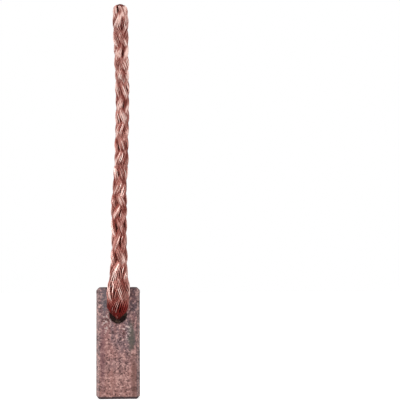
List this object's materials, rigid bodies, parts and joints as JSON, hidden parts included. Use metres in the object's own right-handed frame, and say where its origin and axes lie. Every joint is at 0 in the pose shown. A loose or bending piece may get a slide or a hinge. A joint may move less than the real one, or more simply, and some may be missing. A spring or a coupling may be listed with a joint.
{
  "type": "carbon brush",
  "caption": "Rectangular metal-graphite brush block with chamfered side faces and a flat copper braid tamped into its front face.",
  "frame": {"origin": "centre of the contact end, on the surface that the brush stands on", "axes": "+Z from the contact end to the spring end; the lead leaves the front face, towards -Y; +X is across the width, to the right seen from the front"},
  "size_m": [0.0064, 0.0207, 0.0542],
  "materials": {
    "metal_graphite": "matte, ground metal-graphite",
    "tamped_powder": "dull, tarnished contact powder",
    "bare_copper": "satin bare copper wire"
  },
  "bodies": {
    "root": {"brush_block": "metal_graphite", "tamping_plug": "tamped_powder", "braided_lead": "bare_copper"}
  },
  "joints": []
}
